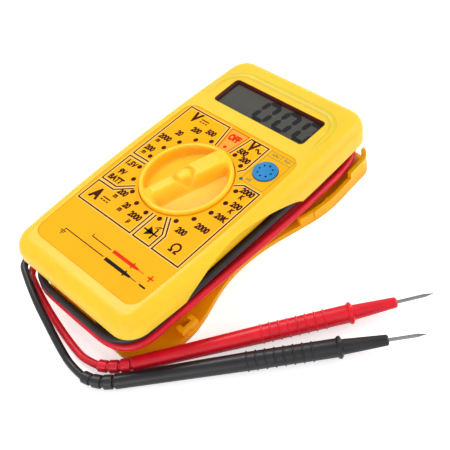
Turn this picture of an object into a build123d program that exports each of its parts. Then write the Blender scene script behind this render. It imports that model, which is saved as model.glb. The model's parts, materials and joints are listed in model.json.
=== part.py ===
from build123d import *
from math import cos, pi, radians, sin, tan
import os

# Pocket digital multimeter with captive test leads, millimetres.
# X runs across the meter, +Y runs along it towards the display, +Z is up.
# The origin is the bottom centre of the meter's body, on the surface it lies on.

# ---------------------------------------------------------------- driving dimensions
CASE_LENGTH = 100.0          # overall, along Y
CASE_END_WIDTH = 52.8        # across the ends of the barrel-shaped outline
CASE_MID_WIDTH = 56.8        # across the middle of the barrel-shaped outline
CASE_CORNER_R = 7.0
CASE_EDGE_R = 4.5            # soft round between face and side wall
FACE_Z = 22.0                # height of the face above the table
TOP_WALL = 2.0
SKIRT_WALL = 1.6
INNER_EDGE_R = 1.0           # round inside the face and side wall
SKIRT_EDGE_DISPLAY_Z = 13.2  # lower edge of the side wall at the display end
SKIRT_EDGE_LOWER_Z = 15.9    # lower edge of the side wall at the other end
ARCH_TOP_Z = 21.05           # crown of the finger arch in each side wall
ARCH_CROWN_Y = -9.0
ARCH_UP_REACH = 27.0         # from the crown towards the display
ARCH_DOWN_REACH = 24.5       # from the crown the other way
ARCH_INNER_X = 23.9          # the arch cuts only what is outside this

DIAL_Y = -2.25               # centre of the selector
KNOB_R = 14.2
KNOB_CLEARANCE = 0.3
KNOB_RIM_Z = 22.9
KNOB_BAR_Z = 24.4
KNOB_BAR_WIDTH = 5.4
KNOB_TURN = -18.0            # pointer's angle from +Y at rest, one step clockwise
KNOB_FLANGE_R = KNOB_R + 1.0
KNOB_UNDERSIDE_Z = 17.4
KNOB_FLANGE_Z = 19.7
KNOB_HUB_R = 3.0
KNOB_HUB_Z = 12.6
KNOB_BOWL_R = KNOB_R - 1.5
KNOB_BOWL_Z = 20.3
POSITIONS = 20               # detents in a full turn
DETENT_RING_WALL = 1.4
DETENT_GAP = 0.35            # ball to ring
BALL_R = 1.0
BALL_PROUD = 0.3              # ball's centre inside the flange's rim
BORE_DEPTH = 5.0              # spring bore, from the flange's rim
SPRING_WIRE_R = 0.14
SPRING_TURNS = 4
WIPERS = 3
WIPER_FIRST_R = 6.0
WIPER_PITCH_R = 2.6
WIPER_THICKNESS = 0.3
WIPER_WIDTH = 1.2

LABEL_INSET = 0.3            # inside the face's flat
LABEL_TOP_Y = 22.3
LABEL_BOTTOM_Y = -43.2
LABEL_RECESS = 0.35
LABEL_THICKNESS = 0.25
LABEL_CORNER_R = 4.0

WINDOW_WIDTH = 37.2
WINDOW_HEIGHT = 11.6
WINDOW_Y = 33.2
WINDOW_CORNER_R = 1.4
GLASS_TOP_Z = 20.8
GLASS_THICKNESS = 2.2
GLASS_WIDTH = 39.0
GLASS_HEIGHT = 13.4
POCKET_GAP = 0.2
LCD_FRAME_WALL = 1.2
ZEBRA_WIDTH = 1.6

SOCKET_X = 17.2
SOCKET_Y = 13.25
SOCKET_R = 3.8
SOCKET_STEM_R = 3.0
SOCKET_HOLE_R = 0.35
SOCKET_HOLES = 8

PLATE_THICKNESS = 1.6
PLATE_TOP_Y = 50.0
PLATE_BOTTOM_Y = -49.2
PLATE_CORNER_R = 6.0
PLATE_CUT_X = 18.0           # the lower corners are cut from here
PLATE_CUT_Y = -39.0          # to here
PLATE_CUT_R = 4.0
LIP_WALL = 1.3
LIP_Z = 4.2
LIP_Y = 16.0
HOOK_Z = 6.5                 # corner hook that keeps the leads in
HOOK_X = 23.5
HOOK_Y = 38.0

CORE_WIDTH = 38.0            # lower housing, which the leads wind round
CORE_LENGTH = CASE_LENGTH - 7.6
CORE_CORNER_R = 10.0
CORE_WALL = 1.4
CORE_FLOOR = 1.6
GROOVE_TOP_Z = 11.3          # underside of the housing's shoulder
SHOULDER_WIDTH = CASE_END_WIDTH - 9.2
SHOULDER_LENGTH = CASE_LENGTH - 5.4
SHOULDER_CORNER_R = 9.5

BOARD_THICKNESS = 1.2
BOARD_Z = 14.0               # underside of the circuit board
BOARD_EDGE_GAP = 0.4
BOARD_TOP_Y = 40.2
BOARD_BOTTOM_Y = -44.0

BOSS_R = 2.6
BOSS_SPLIT_Z = 14.6          # rear boss meets front boss here
SCREW_R = 1.1
SCREW_CLEARANCE = 0.15
PILOT_CLEARANCE = 0.03
SCREW_HEAD_R = 2.1
SCREW_HEAD_HEIGHT = 1.2
SCREW_HEAD_SINK = 0.3        # head below the plate's underside
SCREW_TIP_Z = 19.0
CASE_SCREW_SPOTS = [(-13.4, -40.4), (13.4, -40.4), (-8.0, 43.2), (8.0, 43.2)]
BOARD_SCREW_SPOTS = [(-17.4, -21.0), (17.4, -21.0), (-17.4, 20.4), (17.4, 20.4)]
BOARD_BOSS_R = 2.0
BOARD_SCREW_R = 0.8
BOARD_HEAD_R = 1.7
BOARD_HEAD_HEIGHT = 1.0
BOARD_SCREW_TIP_Z = 18.6

BATTERY_R = 5.15             # 12 V A23 cell
BATTERY_LENGTH = 28.5
BATTERY_Y = -31.0
BATTERY_GAP = 0.15
BATTERY_NUB_R = 2.0
BATTERY_NUB_LENGTH = 1.0
CONTACT_THICKNESS = 0.4
CONTACT_WIDTH = 7.0
COVER_WIDTH = 34.0
COVER_TOP_Y = -20.8
COVER_BOTTOM_Y = -37.6
COVER_GAP = 0.2
COVER_SCREW_Y = -23.2

FUSE_R = 2.5
FUSE_LENGTH = 20.0
FUSE_Y = 12.0
FUSE_Z = 10.4
FUSE_CAP_LENGTH = 5.0

LEAD_D = 2.3
GLAND_R = 1.7
GLAND_LENGTH = 4.0
NOTCH_LEFT_X = -9.0          # wall that the leads come out of
NOTCH_RIGHT_X = 9.0
NOTCH_DEPTH = 5.0
EXIT_Y = -43.5
BLACK_EXIT_Z = 7.6
RED_EXIT_Z = 3.4
BLACK_TAIL_REACH = 0.9       # how far inside each lead's tail turns up to the board
RED_TAIL_REACH = 1.9
TAIL_R = 0.45

BOOT_SEGMENTS = 3
BOOT_SEGMENT_LENGTH = 3.25
BOOT_CABLE_R = 1.75          # radius of the boot's segment at the cable
BOOT_HANDLE_R = 2.05         # radius of the boot's segment at the handle
BOOT_NECK_R = 1.35           # between the segments
PROBE_REAR_R = 2.1           # handle, distances from its rear end
PROBE_RIB_FIRST = 36.4
PROBE_RIB_PITCH = 2.49
PROBE_RIBS = 8
PROBE_RIB_WIDTH = 0.6
PROBE_RIB_HEIGHT = 0.25
PROBE_GRIP_R = 2.55
PROBE_GUARD_AT = 61.0
PROBE_GUARD_R = 3.05
PROBE_GUARD_WIDTH = 1.8
PROBE_SHOULDER_R = 2.1       # just in front of the guard
PROBE_NOSE_END = 73.8
PROBE_NOSE_R = 1.5
NEEDLE_R = 0.5
NEEDLE_END = 84.0
NEEDLE_POINT = 2.6
NEEDLE_SOCKET = 6.0          # length of needle inside the nose

RED_PROBE_AT = (21.7, -49.4) # rear end of the handle
RED_PROBE_HEADING = 53.6     # degrees from +X
RED_BOOT_BEND = 28.0
BLACK_PROBE_AT = (21.9, -56.0)
BLACK_PROBE_HEADING = 48.3
BLACK_BOOT_BEND = 40.0

# ---------------------------------------------------------------- worked-out levels
ROOF_Z = FACE_Z - TOP_WALL
BOARD_TOP_Z = BOARD_Z + BOARD_THICKNESS
CORE_FLOOR_Z = PLATE_THICKNESS + CORE_FLOOR
SHOULDER_FLOOR_Z = GROOVE_TOP_Z + CORE_WALL
GLASS_Z = GLASS_TOP_Z - GLASS_THICKNESS
DETENT_RING_R = KNOB_FLANGE_R - BALL_PROUD + BALL_R + DETENT_GAP
BORE_R = BALL_R + 0.05
BORE_Z = (KNOB_FLANGE_Z - KNOB_UNDERSIDE_Z) / 2
NOTCH_BACK_Y = -CORE_LENGTH / 2 + NOTCH_DEPTH
BIG = 200.0


# ---------------------------------------------------------------- helpers
def block(x0, x1, y0, y1, z0, z1):
    return Pos((x0 + x1) / 2, (y0 + y1) / 2, (z0 + z1) / 2) * Box(x1 - x0, y1 - y0, z1 - z0)


def disc(radius, z0, z1, x=0.0, y=0.0):
    return Pos(x, y, (z0 + z1) / 2) * Cylinder(radius, z1 - z0)


def slab(sketch, z0, z1):
    return Pos(0, 0, z0) * extrude(sketch, z1 - z0)


def rounded(width, length, radius, y=0.0):
    return Pos(0, y) * RectangleRounded(width, length, radius)


def barrel_outline(inset, y0, y1, corner):
    """Barrel outline, its bowed sides a constant inset inside the case's own."""
    half_mid = CASE_MID_WIDTH / 2 - inset
    half_end = CASE_END_WIDTH / 2 - inset
    half_length = CASE_LENGTH / 2
    bow = ThreePointArc((half_end, -half_length), (half_mid, 0), (half_end, half_length))
    other = ThreePointArc((-half_end, half_length), (-half_mid, 0), (-half_end, -half_length))
    top = Line((half_end, half_length), (-half_end, half_length))
    bottom = Line((-half_end, -half_length), (half_end, -half_length))
    full = make_face(Curve() + [bow, top, other, bottom])
    cut = Pos(0, (y0 + y1) / 2) * Rectangle(BIG, y1 - y0)
    face = full & cut
    return fillet(face.vertices(), corner)


def node(name, shape, nodes):
    shape.label = name
    nodes[name] = shape


# ---------------------------------------------------------------- front case and its trim
def skirt_wedge():
    """What is under the side wall's sloping lower edge."""
    half = CASE_LENGTH / 2
    slope = (SKIRT_EDGE_DISPLAY_Z - SKIRT_EDGE_LOWER_Z) / CASE_LENGTH
    reach = BIG / 2
    middle = (SKIRT_EDGE_DISPLAY_Z + SKIRT_EDGE_LOWER_Z) / 2
    profile = Polygon(
        (-reach, middle - slope * reach), (reach, middle + slope * reach), (reach, -half),
        (-reach, -half), align=None)
    return extrude(Plane.YZ * profile, BIG / 2, both=True)


def side_arches():
    """The arch through both side walls, two quarter ellipses meeting at the crown."""
    depth = ARCH_TOP_Z - GROOVE_TOP_Z + CORE_WALL
    low = ARCH_TOP_Z - depth
    up = Pos(ARCH_CROWN_Y, low) * Ellipse(ARCH_UP_REACH, depth)
    down = Pos(ARCH_CROWN_Y, low) * Ellipse(ARCH_DOWN_REACH, depth)
    up_side = Pos(ARCH_CROWN_Y + BIG / 2, low + BIG / 2) * Rectangle(BIG, BIG)
    down_side = Pos(ARCH_CROWN_Y - BIG / 2, low + BIG / 2) * Rectangle(BIG, BIG)
    profile = (up & up_side) + (down & down_side)
    across = extrude(Plane.YZ * profile, BIG / 2, both=True)
    return across - block(-ARCH_INNER_X, ARCH_INNER_X, -BIG, BIG, -BIG, BIG)


def detent_ring():
    """Ring under the face with one shallow notch for each selector position."""
    ring = disc(DETENT_RING_R + DETENT_RING_WALL, KNOB_UNDERSIDE_Z, ROOF_Z, 0, DIAL_Y)
    ring -= disc(DETENT_RING_R, KNOB_UNDERSIDE_Z, ROOF_Z, 0, DIAL_Y)
    notch_z = (KNOB_UNDERSIDE_Z + KNOB_FLANGE_Z) / 2
    for step in range(POSITIONS):
        angle = radians(90 - step * 360 / POSITIONS)
        ring -= Pos(DETENT_RING_R * cos(angle), DIAL_Y + DETENT_RING_R * sin(angle), notch_z) * Cylinder(
            BALL_R / 2, BIG / 50)
    return ring


def make_front_case():
    half = CASE_LENGTH / 2
    outer = slab(barrel_outline(0, -half, half, CASE_CORNER_R), GROOVE_TOP_Z, FACE_Z)
    rim = outer.faces().sort_by(Axis.Z)[-1].edges()
    outer = fillet(rim, CASE_EDGE_R)
    inner_corner = CASE_CORNER_R - SKIRT_WALL
    inner = slab(
        barrel_outline(SKIRT_WALL, -half + SKIRT_WALL, half - SKIRT_WALL, inner_corner),
        GROOVE_TOP_Z, ROOF_Z)
    inner_rim = inner.faces().sort_by(Axis.Z)[-1].edges()
    inner = fillet(inner_rim, INNER_EDGE_R)
    case = outer - inner - skirt_wedge() - side_arches()
    case += detent_ring()
    for x, y in CASE_SCREW_SPOTS:
        case += disc(BOSS_R, BOSS_SPLIT_Z, ROOF_Z, x, y)
        case -= disc(SCREW_R + PILOT_CLEARANCE, BOSS_SPLIT_Z, SCREW_TIP_Z, x, y)
    for x, y in BOARD_SCREW_SPOTS:
        case += disc(BOARD_BOSS_R, BOARD_TOP_Z, ROOF_Z, x, y)
        case -= disc(BOARD_SCREW_R + PILOT_CLEARANCE, BOARD_TOP_Z, BOARD_SCREW_TIP_Z, x, y)
    case -= slab(label_outline(), FACE_Z - LABEL_RECESS, FACE_Z + 1)
    case -= disc(KNOB_R + KNOB_CLEARANCE, ROOF_Z - 1, FACE_Z + 1, 0, DIAL_Y)
    case -= slab(rounded(WINDOW_WIDTH, WINDOW_HEIGHT, WINDOW_CORNER_R, WINDOW_Y), ROOF_Z - 1, FACE_Z + 1)
    case -= block(
        -GLASS_WIDTH / 2 - POCKET_GAP, GLASS_WIDTH / 2 + POCKET_GAP,
        WINDOW_Y - GLASS_HEIGHT / 2 - POCKET_GAP, WINDOW_Y + GLASS_HEIGHT / 2 + POCKET_GAP,
        ROOF_Z - 1, GLASS_TOP_Z)
    case -= disc(SOCKET_R, ROOF_Z - 1, FACE_Z + 1, SOCKET_X, SOCKET_Y)
    return case


def label_outline():
    return barrel_outline(CASE_EDGE_R + LABEL_INSET, LABEL_BOTTOM_Y, LABEL_TOP_Y, LABEL_CORNER_R)


def make_face_label():
    floor = FACE_Z - LABEL_RECESS
    edge = 0.1
    outline = barrel_outline(
        CASE_EDGE_R + LABEL_INSET + edge, LABEL_BOTTOM_Y + edge, LABEL_TOP_Y - edge, LABEL_CORNER_R)
    label = slab(outline, floor, floor + LABEL_THICKNESS)
    label -= disc(KNOB_R + KNOB_CLEARANCE, 0, BIG, 0, DIAL_Y)
    label -= disc(SOCKET_R + edge, 0, BIG, SOCKET_X, SOCKET_Y)
    return label


def make_transistor_socket():
    """Round eight-hole socket: a collar in the face and a narrower stem down to the board."""
    socket = disc(SOCKET_R - 0.1, ROOF_Z, FACE_Z + 0.4, SOCKET_X, SOCKET_Y)
    socket += disc(SOCKET_STEM_R, BOARD_TOP_Z, ROOF_Z, SOCKET_X, SOCKET_Y)
    ring = SOCKET_R * 0.58
    for index in range(SOCKET_HOLES):
        angle = radians(index * 360 / SOCKET_HOLES)
        x = SOCKET_X + ring * cos(angle)
        y = SOCKET_Y + ring * sin(angle)
        socket -= disc(SOCKET_HOLE_R, BOARD_TOP_Z + 1, FACE_Z + 1, x, y)
    return socket


# ---------------------------------------------------------------- display
def window_block(width, height, z0, z1):
    return block(-width / 2, width / 2, WINDOW_Y - height / 2, WINDOW_Y + height / 2, z0, z1)


def make_display(nodes):
    glass = window_block(GLASS_WIDTH, GLASS_HEIGHT, GLASS_Z, GLASS_TOP_Z)
    node("lcd_glass", glass, nodes)
    frame = window_block(GLASS_WIDTH, GLASS_HEIGHT, BOARD_TOP_Z, GLASS_Z)
    hollow_width = GLASS_WIDTH - 2 * LCD_FRAME_WALL
    hollow_height = GLASS_HEIGHT - 2 * LCD_FRAME_WALL
    frame -= window_block(hollow_width, hollow_height, 0, BIG)
    node("lcd_frame", frame, nodes)
    strips = []
    for side in (-1, 1):
        y = WINDOW_Y + side * (hollow_height - ZEBRA_WIDTH) / 2
        half = hollow_width / 2 - POCKET_GAP
        strips.append(block(-half, half, y - ZEBRA_WIDTH / 2, y + ZEBRA_WIDTH / 2, BOARD_TOP_Z, GLASS_Z))
    node("zebra_strips", Compound(children=strips), nodes)
    backing = window_block(hollow_width - 1, hollow_height - 2 * ZEBRA_WIDTH - 1, GLASS_Z - 0.3, GLASS_Z)
    node("lcd_reflector", backing, nodes)


# ---------------------------------------------------------------- selector
def make_knob():
    """Dished knob with a bar grip, a flange that holds it under the face, and a hub."""
    body = Cylinder(KNOB_R, KNOB_RIM_Z - KNOB_UNDERSIDE_Z, align=(Align.CENTER, Align.CENTER, Align.MIN))
    body = fillet(body.edges().sort_by(Axis.Z)[-1], 0.6)
    depth = KNOB_RIM_Z - KNOB_BOWL_Z
    bowl_r = (KNOB_BOWL_R ** 2 + depth ** 2) / (2 * depth)
    body -= Pos(0, 0, KNOB_BOWL_Z - KNOB_UNDERSIDE_Z + bowl_r) * Sphere(bowl_r)
    bar = Box(
        KNOB_BAR_WIDTH, 2 * KNOB_R, KNOB_BAR_Z - KNOB_UNDERSIDE_Z,
        align=(Align.CENTER, Align.CENTER, Align.MIN))
    bar = bar & Cylinder(KNOB_R - 0.4, BIG)
    bar = fillet(bar.faces().sort_by(Axis.Z)[-1].edges(), 0.8)
    flange = Cylinder(
        KNOB_FLANGE_R, KNOB_FLANGE_Z - KNOB_UNDERSIDE_Z, align=(Align.CENTER, Align.CENTER, Align.MIN))
    hub_length = KNOB_UNDERSIDE_Z - KNOB_HUB_Z
    hub = Pos(0, 0, -hub_length / 2) * Cylinder(KNOB_HUB_R, hub_length)
    knob = body + bar + flange + hub
    for side in (-1, 1):
        knob -= spring_bore(side)
    return Pos(0, DIAL_Y, KNOB_UNDERSIDE_Z) * Rot(0, 0, KNOB_TURN) * knob


def spring_bore(side):
    length = BORE_DEPTH + 1
    centre = KNOB_FLANGE_R - BORE_DEPTH + length / 2
    return Pos(0, side * centre, BORE_Z) * Rot(90, 0, 0) * Cylinder(BORE_R, length)


def make_detents(nodes):
    place = Pos(0, DIAL_Y, KNOB_UNDERSIDE_Z) * Rot(0, 0, KNOB_TURN)
    centre = KNOB_FLANGE_R - BALL_PROUD
    balls = []
    springs = []
    inner = KNOB_FLANGE_R - BORE_DEPTH
    length = centre - BALL_R - inner - 2 * SPRING_WIRE_R
    coil = BALL_R - 2 * SPRING_WIRE_R
    path = Helix(length / SPRING_TURNS, length, coil)
    profile = Plane(origin=path @ 0, z_dir=path % 0) * Circle(SPRING_WIRE_R)
    spring = sweep(profile, path, is_frenet=True)
    for side in (-1, 1):
        balls.append(place * Pos(0, side * centre, BORE_Z) * Sphere(BALL_R))
        turned = Rot(-90 * side, 0, 0) * spring
        springs.append(place * Pos(0, side * (inner + SPRING_WIRE_R), BORE_Z) * turned)
    node("detent_balls", Compound(children=balls), nodes)
    node("detent_springs", Compound(children=springs), nodes)


def make_wipers():
    """Three sprung contact bridges under the knob, each a bowed strip with two feet."""
    place = Pos(0, DIAL_Y, KNOB_UNDERSIDE_Z) * Rot(0, 0, KNOB_TURN)
    drop = KNOB_UNDERSIDE_Z - BOARD_TOP_Z - KNOB_CLEARANCE
    bridges = []
    for index in range(WIPERS):
        radius = WIPER_FIRST_R + WIPER_PITCH_R * index
        strip = Pos(0, radius, -WIPER_THICKNESS / 2) * Box(7.0, WIPER_WIDTH, WIPER_THICKNESS)
        for side in (-1, 1):
            strip += Pos(side * 3.0, radius, -drop / 2) * Box(1.0, WIPER_WIDTH, drop)
        bridges.append(place * Rot(0, 0, 360 / WIPERS * index) * strip)
    return Compound(children=bridges)


# ---------------------------------------------------------------- housing under the face
def make_rear_case():
    """Spool-shaped housing: a narrow core for the leads under a wider shoulder."""
    core = slab(rounded(CORE_WIDTH, CORE_LENGTH, CORE_CORNER_R), PLATE_THICKNESS, GROOVE_TOP_Z)
    shoulder = slab(rounded(SHOULDER_WIDTH, SHOULDER_LENGTH, SHOULDER_CORNER_R), GROOVE_TOP_Z, ROOF_Z)
    case = core + shoulder
    twice = 2 * CORE_WALL
    case -= slab(
        rounded(CORE_WIDTH - twice, CORE_LENGTH - twice, CORE_CORNER_R - CORE_WALL), CORE_FLOOR_Z, BIG)
    case -= slab(
        rounded(SHOULDER_WIDTH - twice, SHOULDER_LENGTH - twice, SHOULDER_CORNER_R - CORE_WALL),
        SHOULDER_FLOOR_Z, BIG)
    outer_y = -CORE_LENGTH / 2 - 1
    liner = block(
        NOTCH_LEFT_X - CORE_WALL, NOTCH_RIGHT_X + CORE_WALL, outer_y + 1 + CORE_WALL,
        NOTCH_BACK_Y + CORE_WALL, CORE_FLOOR_Z, GROOVE_TOP_Z + CORE_WALL)
    case += liner
    case -= block(NOTCH_LEFT_X, NOTCH_RIGHT_X, outer_y, NOTCH_BACK_Y, PLATE_THICKNESS, GROOVE_TOP_Z)
    for x, y in CASE_SCREW_SPOTS:
        case += disc(BOSS_R, CORE_FLOOR_Z, BOSS_SPLIT_Z, x, y)
        case -= disc(SCREW_R + SCREW_CLEARANCE, 0, BIG, x, y)
    case -= block(
        -COVER_WIDTH / 2 + 1, COVER_WIDTH / 2 - 1, COVER_BOTTOM_Y + 1,
        BATTERY_Y + BATTERY_R + BATTERY_GAP, 0, CORE_FLOOR_Z)
    case += disc(BOSS_R - 0.3, CORE_FLOOR_Z - CORE_FLOOR, GROOVE_TOP_Z, 0, COVER_SCREW_Y)
    case -= disc(BOARD_SCREW_R + PILOT_CLEARANCE, 0, GROOVE_TOP_Z - 1, 0, COVER_SCREW_Y)
    for x in contact_slots():
        case += x
    for z in (BLACK_EXIT_Z, RED_EXIT_Z):
        case -= Pos(NOTCH_LEFT_X, EXIT_Y, z) * Rot(0, 90, 0) * Cylinder(GLAND_R, 5 * CORE_WALL)
    return case


def contact_slots():
    """Two upright ribs that hold the battery's end contacts."""
    ribs = []
    for side in (-1, 1):
        inner = BATTERY_LENGTH / 2 + BATTERY_NUB_LENGTH + CONTACT_THICKNESS + 0.1
        outer = CORE_WIDTH / 2 - CORE_WALL
        x0, x1 = sorted((side * inner, side * outer))
        ribs.append(block(x0, x1, BATTERY_Y - 3, BATTERY_Y + 3, CORE_FLOOR_Z, GROOVE_TOP_Z))
    return ribs


def plate_outline(inset=0.0):
    """Hour-glass outline: wide at both ends, waisted under the side arches, lower corners cut."""
    edge = [(27.4, PLATE_TOP_Y), (27.6, 38.0), (28.0, 27.0), (23.4, 7.0), (22.9, -15.0), (27.0, -30.0),
            (26.2, PLATE_CUT_Y)]
    right = [(x - inset, y) for x, y in edge]
    right[0] = (right[0][0], PLATE_TOP_Y - inset)
    left = [(-x, y) for x, y in reversed(right)]
    cut_x = PLATE_CUT_X - inset * 0.6
    low = PLATE_BOTTOM_Y + inset
    sides = [Spline(right), Polyline(right[-1], (cut_x, low), (-cut_x, low), left[0]), Spline(left),
             Line(left[-1], right[0])]
    face = make_face(Curve() + sides)
    top = face.vertices().filter_by(lambda corner: corner.Y > 0)
    face = fillet(top, PLATE_CORNER_R - inset)
    low_corners = face.vertices().filter_by(lambda corner: corner.Y < PLATE_CUT_Y + 0.1)
    return fillet(low_corners, PLATE_CUT_R)


def make_base_plate():
    """Base plate with raised lips, a hook at each upper corner, cradles and needle clips."""
    outline = plate_outline()
    plate = slab(outline, 0, PLATE_THICKNESS)
    lip = slab(outline, 0, HOOK_Z) - slab(plate_outline(LIP_WALL), 0, BIG)
    for side in (-1, 1):
        x0, x1 = sorted((side * HOOK_X, side * BIG / 2))
        plate += lip & block(x0, x1, HOOK_Y, BIG, 0, HOOK_Z)
        plate += lip & block(x0, x1, LIP_Y, HOOK_Y, 0, LIP_Z)
        plate += cradle_ribs(side)
        plate += needle_clip(side)
        plate -= disc(0.5, PLATE_THICKNESS - 0.6, BIG, side * 15.9, -46.6)
    for x, y in CASE_SCREW_SPOTS:
        plate -= disc(SCREW_R + SCREW_CLEARANCE, -1, BIG, x, y)
        plate -= disc(SCREW_HEAD_R + SCREW_CLEARANCE, -1, SCREW_HEAD_SINK + SCREW_HEAD_HEIGHT, x, y)
    plate -= block(-COVER_WIDTH / 2, COVER_WIDTH / 2, COVER_BOTTOM_Y, COVER_TOP_Y, -1, PLATE_THICKNESS)
    return plate


def cradle_ribs(side):
    """Pair of ribs that carry a stowed probe, low inside and rising to the lip."""
    shape = None
    for y in (21.6, 27.4):
        x0, x1 = sorted((side * 24.6, side * 27.4))
        rib = block(x0, x1, y - 0.6, y + 0.6, PLATE_THICKNESS, LIP_Z)
        hollow = Pos(side * 24.4, y, LIP_Z) * Rot(90, 0, 0) * Cylinder(2.0, BIG / 50)
        rib -= hollow
        shape = rib if shape is None else shape + rib
    return shape


def needle_clip(side):
    """Two low posts that the stowed probe's needle presses between."""
    shape = None
    for y in (-33.4, -29.0):
        x0, x1 = sorted((side * 23.9, side * 26.6))
        post = block(x0, x1, y - 0.7, y + 0.7, PLATE_THICKNESS, PLATE_THICKNESS + 2.6)
        shape = post if shape is None else shape + post
    x0, x1 = sorted((side * 25.5, side * 26.6))
    shape += block(x0, x1, -33.4, -29.0, PLATE_THICKNESS, PLATE_THICKNESS + 2.6)
    return shape


def screw(radius, head_radius, head_height, tip_z, head_z):
    """Pan-head screw pointing up, with a cross recess in the head."""
    body = disc(head_radius, head_z, head_z + head_height)
    body += disc(radius, head_z + head_height, tip_z)
    slot = head_radius * 0.55
    body -= Pos(0, 0, head_z) * Box(2 * slot, 0.5, head_height)
    body -= Pos(0, 0, head_z) * Box(0.5, 2 * slot, head_height)
    return body


def make_screws(nodes):
    case_screw = screw(SCREW_R, SCREW_HEAD_R, SCREW_HEAD_HEIGHT, SCREW_TIP_Z - 0.5, SCREW_HEAD_SINK)
    placed = [Pos(x, y, 0) * case_screw for x, y in CASE_SCREW_SPOTS]
    node("case_screws", Compound(children=placed), nodes)
    head_z = BOARD_Z - BOARD_HEAD_HEIGHT
    board_screw = screw(BOARD_SCREW_R, BOARD_HEAD_R, BOARD_HEAD_HEIGHT, BOARD_SCREW_TIP_Z - 0.5, head_z)
    placed = [Pos(x, y, 0) * board_screw for x, y in BOARD_SCREW_SPOTS]
    node("board_screws", Compound(children=placed), nodes)
    cover_screw = screw(BOARD_SCREW_R, BOARD_HEAD_R, 0.9, GROOVE_TOP_Z - 2, 0.2)
    node("battery_cover_screw", Pos(0, COVER_SCREW_Y, 0) * cover_screw, nodes)


def make_battery_cover():
    cover = block(
        -COVER_WIDTH / 2 + COVER_GAP, COVER_WIDTH / 2 - COVER_GAP, COVER_BOTTOM_Y + COVER_GAP,
        COVER_TOP_Y - COVER_GAP, 0, PLATE_THICKNESS)
    for index in range(4):
        y = COVER_BOTTOM_Y + 4 + 1.6 * index
        cover -= block(-5, 5, y, y + 0.7, -1, 0.4)
    cover -= disc(BOARD_SCREW_R + SCREW_CLEARANCE, -1, BIG, 0, COVER_SCREW_Y)
    cover -= disc(BOARD_HEAD_R + SCREW_CLEARANCE, -1, 1.1, 0, COVER_SCREW_Y)
    return cover


# ---------------------------------------------------------------- battery and electronics
def make_battery(nodes):
    z = CORE_FLOOR_Z + BATTERY_R + BATTERY_GAP - CORE_FLOOR
    lying = Pos(0, BATTERY_Y, z) * Rot(0, 90, 0)
    cell = lying * Cylinder(BATTERY_R, BATTERY_LENGTH)
    cell += Pos(BATTERY_LENGTH / 2 + BATTERY_NUB_LENGTH / 2, BATTERY_Y, z) * Rot(0, 90, 0) * Cylinder(
        BATTERY_NUB_R, BATTERY_NUB_LENGTH)
    node("battery", cell, nodes)
    half = CONTACT_WIDTH / 2
    low = CORE_FLOOR_Z
    high = BOARD_Z
    x = BATTERY_LENGTH / 2 + BATTERY_NUB_LENGTH
    plus = block(x, x + CONTACT_THICKNESS, BATTERY_Y - half, BATTERY_Y + half, low, high)
    node("battery_contact_plus", plus, nodes)
    minus = block(-x - CONTACT_THICKNESS, -x, BATTERY_Y - half, BATTERY_Y + half, low, high)
    bump = Pos(-x + BATTERY_NUB_LENGTH / 2, BATTERY_Y, z) * Rot(0, 90, 0) * Cone(
        2.8, 1.6, BATTERY_NUB_LENGTH)
    node("battery_contact_minus", minus + bump, nodes)


def make_board():
    half = SHOULDER_WIDTH / 2 - CORE_WALL - BOARD_EDGE_GAP
    board = slab(rounded(2 * half, BOARD_TOP_Y - BOARD_BOTTOM_Y, 6.0, (BOARD_TOP_Y + BOARD_BOTTOM_Y) / 2),
                 BOARD_Z, BOARD_TOP_Z)
    for x, y in CASE_SCREW_SPOTS:
        board -= disc(BOSS_R + BOARD_EDGE_GAP, 0, BIG, x, y)
    for x, y in BOARD_SCREW_SPOTS:
        board -= disc(BOARD_SCREW_R + SCREW_CLEARANCE, 0, BIG, x, y)
    board -= disc(KNOB_HUB_R + KNOB_CLEARANCE, 0, BIG, 0, DIAL_Y)
    return board


def make_fuse(nodes):
    lying = Pos(0, FUSE_Y, FUSE_Z) * Rot(0, 90, 0)
    tube = lying * Cylinder(FUSE_R - 0.2, FUSE_LENGTH - 0.4)
    caps = []
    clips = []
    for side in (-1, 1):
        x = side * (FUSE_LENGTH - FUSE_CAP_LENGTH) / 2
        cap = Pos(x, FUSE_Y, FUSE_Z) * Rot(0, 90, 0) * Cylinder(FUSE_R, FUSE_CAP_LENGTH)
        caps.append(cap - tube)
        clip = block(x - 2, x + 2, FUSE_Y - 2.9, FUSE_Y + 2.9, FUSE_Z - 1.2, BOARD_Z)
        clip -= block(x - 3, x + 3, FUSE_Y - FUSE_R, FUSE_Y + FUSE_R, 0, BOARD_Z - 0.4)
        clips.append(clip)
    node("fuse_tube", tube, nodes)
    node("fuse_caps", Compound(children=caps), nodes)
    node("fuse_clips", Compound(children=clips), nodes)


def make_small_parts(nodes):
    """Parts soldered under the board: chip under resin, trimmer, capacitors, resistors."""
    dome = Pos(0, -15.0, BOARD_Z) * Sphere(8.0)
    lift = 6.4
    dome = Pos(0, 0, lift) * dome & block(-BIG, BIG, -BIG, BIG, 0, BOARD_Z)
    node("chip_blob", dome, nodes)
    trimmer = block(-15.0, -9.0, 22.0, 28.0, BOARD_Z - 3.0, BOARD_Z)
    trimmer -= disc(1.2, 0, BOARD_Z - 2.4, -12.0, 25.0)
    node("trimmer", trimmer, nodes)
    caps = []
    for index in range(3):
        caps.append(disc(1.8, BOARD_Z - 4.5, BOARD_Z, -2.0 + 5.0 * index, 26.0))
    node("capacitors", Compound(children=caps), nodes)
    resistors = []
    for index in range(8):
        y = 3.5 - 2.4 * index
        x = 13.4
        body = Pos(x, y, BOARD_Z - 1.1) * Rot(0, 90, 0) * Cylinder(0.8, 4.0)
        for side in (-1, 1):
            body += block(x + side * 1.9 - 0.25, x + side * 1.9 + 0.25, y - 0.25, y + 0.25, BOARD_Z - 1.1, BOARD_Z)
        resistors.append(body)
    node("resistors", Compound(children=resistors), nodes)


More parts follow.
